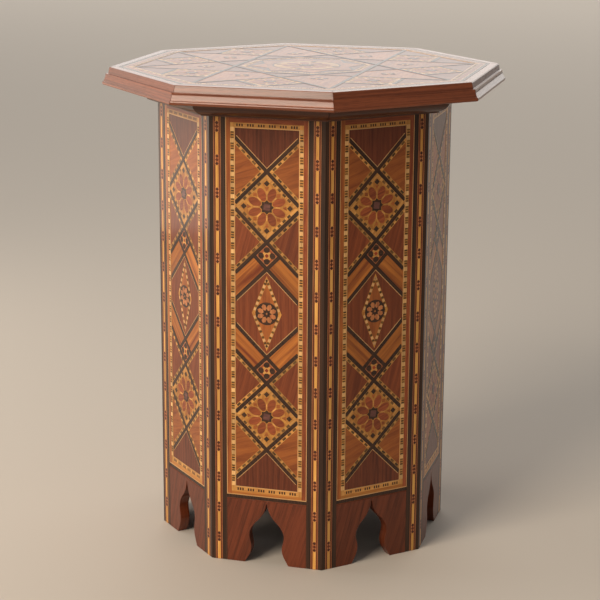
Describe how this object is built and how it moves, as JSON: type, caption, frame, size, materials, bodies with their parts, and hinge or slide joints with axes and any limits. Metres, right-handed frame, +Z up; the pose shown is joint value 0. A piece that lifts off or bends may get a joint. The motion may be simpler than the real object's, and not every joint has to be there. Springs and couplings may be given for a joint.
{
  "type": "octagonal side table",
  "caption": "Tall octagonal side table with a moulded overhanging top, inlaid sides and keel-arched feet.",
  "frame": {"origin": "on the floor, on the table's upright axis", "axes": "+Z up; -Y is square to side 1, one of the eight flats; +X to the right of someone who faces side 1"},
  "size_m": [0.4376, 0.4376, 0.559],
  "materials": {
    "walnut": "gloss lacquer",
    "marquetry": "gloss lacquer over several inlaid woods",
    "inlay_banding": "gloss lacquer over dark bands and a pale dashed strip",
    "beech": "unfinished, planed",
    "steel": "zinc plated"
  },
  "bodies": {
    "root": {"side_board_1": "walnut", "side_board_2": "walnut", "side_board_3": "walnut", "side_board_4": "walnut", "side_board_5": "walnut", "side_board_6": "walnut", "side_board_7": "walnut", "side_board_8": "walnut", "side_marquetry_1": "marquetry", "side_marquetry_2": "marquetry", "side_marquetry_3": "marquetry", "side_marquetry_4": "marquetry", "side_marquetry_5": "marquetry", "side_marquetry_6": "marquetry", "side_marquetry_7": "marquetry", "side_marquetry_8": "marquetry", "banding_1_left": "inlay_banding", "banding_1_right": "inlay_banding", "banding_2_left": "inlay_banding", "banding_2_right": "inlay_banding", "banding_3_left": "inlay_banding", "banding_3_right": "inlay_banding", "banding_4_left": "inlay_banding", "banding_4_right": "inlay_banding", "banding_5_left": "inlay_banding", "banding_5_right": "inlay_banding", "banding_6_left": "inlay_banding", "banding_6_right": "inlay_banding", "banding_7_left": "inlay_banding", "banding_7_right": "inlay_banding", "banding_8_left": "inlay_banding", "banding_8_right": "inlay_banding", "cornice_1": "walnut", "cornice_2": "walnut", "cornice_3": "walnut", "cornice_4": "walnut", "cornice_5": "walnut", "cornice_6": "walnut", "cornice_7": "walnut", "cornice_8": "walnut", "top_edge_1": "walnut", "top_edge_2": "walnut", "top_edge_3": "walnut", "top_edge_4": "walnut", "top_edge_5": "walnut", "top_edge_6": "walnut", "top_edge_7": "walnut", "top_edge_8": "walnut", "top_board": "walnut", "top_marquetry": "marquetry", "top_frame": "beech", "top_screw_1": "steel", "top_screw_2": "steel", "top_screw_3": "steel", "top_screw_4": "steel", "top_screw_5": "steel", "top_screw_6": "steel", "top_screw_7": "steel", "top_screw_8": "steel"}
  },
  "joints": []
}
